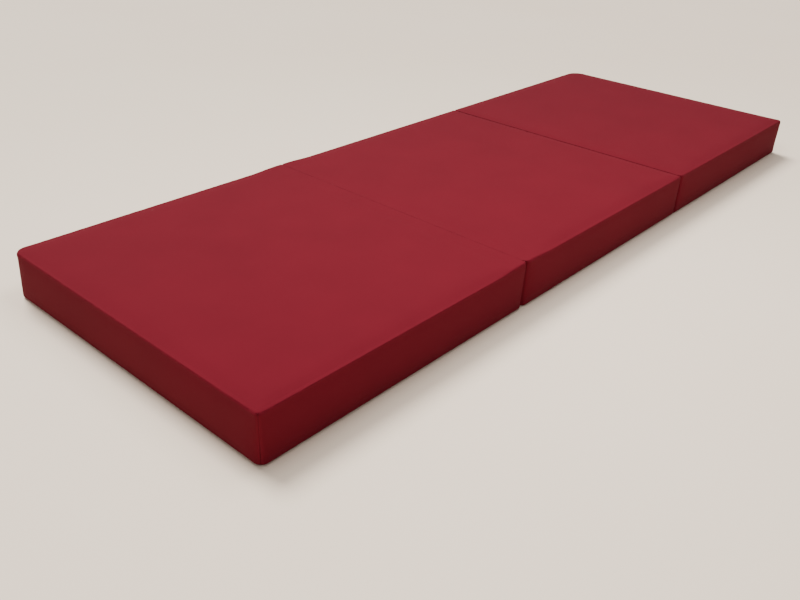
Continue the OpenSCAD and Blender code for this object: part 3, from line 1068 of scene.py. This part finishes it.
# %% Tapes
TAPE_THICKNESS = 0.5 * MM
TAPE_GAP = 0.12 * MM
TAPE_BEAD, BEAD_SHARE = 0.25 * MM, 0.05
TAPE_RIPPLE, TAPE_RIPPLE_LENGTH = 0.05 * MM, 23 * MM
TAPE_LINES, TAPE_ROWS = 241, 16


def zip_tape(name, side):
    """One tape: flat, with a woven bead along its outer edge and a slight ripple that fades towards the
    teeth."""
    node = f"{name}_zip_tape_{side}"
    low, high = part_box(node)
    gx, share = np.meshgrid(np.linspace(low.x, high.x, TAPE_LINES), crowded(TAPE_ROWS), indexing="ij")
    from_outer = share if side == "lower" else 1 - share
    bead = -TAPE_BEAD * np.exp(-(from_outer / BEAD_SHARE) ** 2)
    ripple = TAPE_RIPPLE * np.sin(2 * np.pi * gx / TAPE_RIPPLE_LENGTH) * smooth(1.2 - 2 * from_outer)
    points = np.stack([gx, high.y - TAPE_GAP + bead + ripple, mix(low.z, high.z, share)], -1)
    uv = cloth_uv(points)
    tape = grid_piece(f"{name}_zip_{side}_tape", points, True, uv, edge_distance(uv), TAPE_THICKNESS)
    tape.data.materials.append(ZIP_TAPE)
    stands_for(tape, name, node)
    return tape


TAPES = [zip_tape(name, side) for name in SECTIONS for side in ("upper", "lower")]
print("zip tapes:", len(TAPES))

# %% Coils
COIL_PITCH = 1.45 * MM
WIRE = 0.33 * MM
PER_TURN = 10
WIRE_SIDES = 5
COIL_HEAD = 0.3 * MM


def tube_faces(rings, sides, first=0):
    """Quads of a tube of rings x sides points, and one face to close each end."""
    k = first + np.arange(rings * sides).reshape(rings, sides)
    turned = np.roll(k, -1, axis=1)
    quads = np.stack([k[:-1], turned[:-1], turned[1:], k[1:]], -1).reshape(-1, 4).tolist()
    return quads + [k[0][::-1].tolist(), k[-1].tolist()]


def coil_finish():
    """Dyed nylon: a smooth, slightly glossy plastic with faint changes of tone along the wire."""
    tree = Tree("dyed_nylon")
    tone = tree.noise(object_coordinates(tree), 300.0, 2.0)
    return tree.finish(Base_Color=tree.blend(tone, (0.075, 0.005, 0.010, 1.0), (0.12, 0.009, 0.016, 1.0)),
                       Roughness=tree.ranged(tone, 0.3, 0.7, 0.28, 0.42), Specular_IOR_Level=0.5,
                       Normal=tree.bump(tone, 0.05 * MM, 0.3))


NYLON = coil_finish()


def zip_coil(name, side):
    """One row of teeth: a tube along an elliptical helix, on the side of the zip that side names."""
    node = f"{name}_zip_teeth_{side}"
    low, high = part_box(node)
    sign = 1 if side == "upper" else -1
    inner, outer = (low.z, high.z) if sign > 0 else (high.z, low.z)
    inner -= sign * COIL_HEAD
    turns = int((high.x - low.x - 2 * WIRE) / COIL_PITCH)
    angle = np.linspace(0, 2 * np.pi * turns, turns * PER_TURN + 1)
    reach_y, reach_z = (high.y - low.y) / 2 - WIRE, abs(outer - inner) / 2 - WIRE
    middle_x = (low.x + high.x) / 2 + COIL_PITCH * (angle / (2 * np.pi) - turns / 2)
    radial = np.stack([0 * angle, np.cos(angle), np.sin(angle)], -1)
    centre = np.array([0, (low.y + high.y) / 2, (inner + outer) / 2])
    path = centre + radial * [0, reach_y, reach_z]
    path[:, 0] = middle_x
    along = np.gradient(path, axis=0)
    along /= np.linalg.norm(along, axis=1, keepdims=True)
    binormal = np.cross(along, radial)
    binormal /= np.linalg.norm(binormal, axis=1, keepdims=True)
    normal = np.cross(binormal, along)
    turn = 2 * np.pi * np.arange(WIRE_SIDES) / WIRE_SIDES
    ring = normal[:, None] * np.cos(turn)[:, None] + binormal[:, None] * np.sin(turn)[:, None]
    points = (path[:, None] + WIRE * ring).reshape(-1, 3)
    coil = plain_mesh(f"{name}_zip_{side}_coil", points, tube_faces(len(path), WIRE_SIDES), NYLON)
    stands_for(coil, name, node)
    return coil


COILS = [zip_coil(name, side) for name in SECTIONS for side in ("upper", "lower")]
print("coils:", len(COILS), "with", len(COILS[0].data.polygons), "faces each")

# %% [markdown]
# ## Stitches
#
# The tapes are held by a row of lockstitches along each edge of the zip opening. A stitch is a short
# length of thread that dips into the cloth at both ends: a small tube whose height follows half a sine.
# All the stitches of a row are one array, stitches x rings x sides.

# %% Stitches
STITCH_PITCH = 3.2 * MM
STITCH_LENGTH = 2.5 * MM
THREAD = 0.26 * MM
STITCH_RINGS, STITCH_SIDES = 6, 6
STITCH_FACES = (STITCH_RINGS - 1) * STITCH_SIDES + 2
THIN_END = 0.45
STITCH_LIFT, STITCH_DIP = 1.3, 0.6
ZIP_SEAM = 3.6 * MM


def thread_finish():
    """Spun polyester thread: fine twist lines across it, slightly lighter than the cloth."""
    tree = Tree("burgundy_thread")
    twist = tree.bands(object_coordinates(tree), "DIAGONAL", 0.35 * MM)
    return tree.finish(Base_Color=tree.blend(twist, (0.16, 0.011, 0.019, 1.0), (0.28, 0.024, 0.036, 1.0)),
                       Roughness=tree.ranged(twist, 0.0, 1.0, 0.65, 0.5), Specular_IOR_Level=0.35,
                       Normal=tree.bump(twist, 0.06 * MM, 0.6))


THREAD_FINISH = thread_finish()


def stitch_row(name, x_from, x_to, y, z):
    """A straight row of stitches along X on a wall that faces +Y. Along a stitch, t from 0 to 1, the
    thread's centre is at THREAD (1.3 sin(pi t) - 0.6) from the wall, and it is thinner at both ends."""
    count = int((x_to - x_from) / STITCH_PITCH)
    start = x_from + STITCH_PITCH * (np.arange(count) + 0.5 * (1 - STITCH_LENGTH / STITCH_PITCH))
    t = np.linspace(0, 1, STITCH_RINGS)
    turn = 2 * np.pi * np.arange(STITCH_SIDES) / STITCH_SIDES
    thick = THREAD * (THIN_END + (1 - THIN_END) * np.sin(np.pi * t) ** 0.5)
    x = start[:, None, None] + STITCH_LENGTH * t[None, :, None] + 0 * turn
    lift = THREAD * (STITCH_LIFT * np.sin(np.pi * t) - STITCH_DIP)
    gy = y + lift[None, :, None] + thick[None, :, None] * np.cos(turn) + 0 * x
    gz = z + thick[None, :, None] * np.sin(turn) + 0 * x
    points = np.stack([x, gy, gz], -1).reshape(-1, 3)
    faces = []
    for number in range(count):
        faces += tube_faces(STITCH_RINGS, STITCH_SIDES, number * STITCH_RINGS * STITCH_SIDES)
    row = plain_mesh(name, points, faces, THREAD_FINISH)
    return row


WALL_Y = SIZE["head"]["y"][1]
for name in SECTIONS:
    zip_from, zip_to = SIZE[name]["zip_x"]
    for side, z in (("upper", ZIP_HIGH + ZIP_SEAM), ("lower", ZIP_LOW - ZIP_SEAM)):
        row = stitch_row(f"{name}_zip_{side}_stitches", zip_from, zip_to, WALL_Y, z)
        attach(row, body_of(name))
print("stitch rows: 6, the last of", len(row.data.polygons) // STITCH_FACES, "stitches")

# %% [markdown]
# ## Zip metal
#
# The end stops, the slider and its pull are die-cast zinc with a nickel finish. Their shapes come from
# the frame as they are, so they only get their finish: metal, with fine brushing and dull, rubbed spots.

# %% Zip metal
def zip_metal():
    """Nickel-plated zinc: fine scratches in the bump, and roughness that changes from spot to spot."""
    tree = Tree("nickel_zinc")
    place = object_coordinates(tree)
    spots, scratches = tree.noise(place, 500.0, 3.0), tree.noise(place, 2500.0, 2.0)
    colour = tree.blend(spots, (0.42, 0.40, 0.38, 1.0), (0.62, 0.60, 0.57, 1.0))
    return tree.finish(Base_Color=colour, Metallic=1.0, Roughness=tree.ranged(spots, 0.3, 0.7, 0.24, 0.46),
                       Normal=tree.bump(scratches, 0.03 * MM, 0.4))


ZINC = zip_metal()
for name in SECTIONS:
    for part in ("zip_end_stops", "zip_slider", "zip_pull"):
        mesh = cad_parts[f"{name}_{part}"].data
        mesh.materials.clear()
        mesh.materials.append(ZINC)

# %% [markdown]
# ## Care label
#
# The label is a folded satin ribbon, sewn in under the zip of the head section and left blank. Its shape
# is a line down the front ply, round a small half circle at the bottom, and up the back ply, carried
# along its width. The free end stands off the cloth a little.

# %% Care label
PLY = 0.14 * MM
LABEL_GAP = 0.24 * MM
LABEL_OUT, LABEL_STITCH_OUT = 0.55 * MM, 0.85 * MM
LABEL_CURL = 1.5 * MM
LABEL_HEM = 1.6 * MM
PLY_ROWS, BEND_ROWS, LABEL_LINES = 18, 9, 37


def label_finish():
    """White satin ribbon: fine lengthwise ribs, a soft gloss, slightly yellowed in patches."""
    tree = Tree("white_satin")
    uv = cloth_coordinates(tree)
    ribs, age = tree.bands(uv, "X", 0.3 * MM), tree.noise(uv, 60.0, 2.0)
    colour = tree.blend(age, (0.80, 0.78, 0.72, 1.0), (0.86, 0.85, 0.81, 1.0))
    return tree.finish(Base_Color=colour, Roughness=tree.ranged(age, 0.3, 0.7, 0.35, 0.5), Sheen_Weight=0.2,
                       Normal=tree.bump(ribs, 0.04 * MM, 0.5), Specular_IOR_Level=0.45)


def care_label():
    """The folded ribbon as one grid, width x distance s along it: s from 0 to 1 is the front ply, to 2
    the half circle, and to 3 the back ply. It curls away from the wall in proportion to the drop."""
    low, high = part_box("care_label")
    drop = high.z - low.z
    turn_r = LABEL_GAP / 2
    s = np.concatenate([np.linspace(0, 1, PLY_ROWS), np.linspace(1, 2, BEND_ROWS)[1:],
                        np.linspace(2, 3, PLY_ROWS)[1:]])
    bend = np.pi * np.clip(s - 1, 0, 1)
    straight = np.where(s < 1.5, np.clip(s, 0, 1), np.clip(3 - s, 0, 1))
    z = high.z - straight * (drop - turn_r) - turn_r * np.sin(bend)
    y = WALL_Y + LABEL_OUT + turn_r * np.cos(bend)
    gx, gz = np.meshgrid(np.linspace(low.x, high.x, LABEL_LINES), z, indexing="ij")
    across = (gx - low.x) / (high.x - low.x)
    curl = LABEL_CURL * (high.z - gz) / drop * (0.6 + 0.4 * np.sin(2 * np.pi * across + 0.7))
    points = np.stack([gx, y[None, :] + curl, gz], -1)
    uv = cloth_uv(points)
    label = grid_piece("blank_care_label", points, False, uv, edge_distance(uv), PLY)
    label.data.materials.append(label_finish())
    stands_for(label, "head", "care_label")
    seam = stitch_row("care_label_stitches", low.x + MM, high.x - MM, WALL_Y + LABEL_STITCH_OUT,
                      high.z - LABEL_HEM)
    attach(seam, body_of("head"))
    return label


print("label:", care_label().name)

# %% [markdown]
# ## Studio
#
# A plain pale floor and soft light. A broad sun high up behind the mattress lights the top and leaves
# the two faces in view, and a band of floor before them, in soft shade. A lamp above the head half, a
# little towards the front, brightens the top there, and the pale surroundings fill in the shadows.

# %% Floor, lights and surroundings
FLOOR_HALF = 7.0
FLOOR_DROP = 0.3 * MM


def studio_floor():
    """A large pale plane, just under the height that the mattress rests on."""
    mesh = bpy.data.meshes.new("studio_floor")
    corners = [(x * FLOOR_HALF, y * FLOOR_HALF, 0) for x, y in ((-1, -1), (1, -1), (1, 1), (-1, 1))]
    mesh.from_pydata(corners, [], [(0, 1, 2, 3)])
    floor = in_scene("studio_floor", mesh)
    tree = Tree("pale_floor")
    tone = tree.noise(object_coordinates(tree), 1.2, 3.0)
    colour = tree.blend(tone, (0.84, 0.70, 0.56, 1), (0.88, 0.76, 0.63, 1))
    mesh.materials.append(tree.finish(Base_Color=colour, Roughness=0.6, Specular_IOR_Level=0.2))
    floor.location.z = -FLOOR_DROP
    return floor


def area_lamp(name, place, aim, width, height, watts, colour):
    """A soft rectangular lamp that faces the point aim."""
    data = bpy.data.lights.new(name, "AREA")
    data.shape = "RECTANGLE"
    data.size, data.size_y = width, height
    data.energy = watts
    data.color = colour
    lamp = in_scene(name, data)
    lamp.location = place
    lamp.rotation_euler = (Vector(aim) - Vector(place)).to_track_quat("-Z", "Y").to_euler()
    return lamp


def soft_sun(name, towards, strength, spread, colour):
    """Light from one broad direction: towards points at the sun, and spread is its width in degrees."""
    data = bpy.data.lights.new(name, "SUN")
    data.energy = strength
    data.angle = np.radians(spread)
    data.color = colour
    sun = in_scene(name, data)
    sun.rotation_euler = Vector(towards).to_track_quat("Z", "Y").to_euler()
    return sun


studio_floor()
soft_sun("behind", (0.12, 0.55, 0.83), 4.9, 24, (1.0, 0.97, 0.93))
area_lamp("overhead", (-0.25, -0.2, 1.35), (-0.25, -0.15, 0.0), 0.9, 0.6, 12, (1.0, 0.98, 0.95))
world = bpy.data.worlds.new("studio")
world.use_nodes = True
world.node_tree.nodes["Background"].inputs["Color"].default_value = (1.0, 0.98, 0.96, 1.0)
world.node_tree.nodes["Background"].inputs["Strength"].default_value = 0.55
bpy.context.scene.world = world
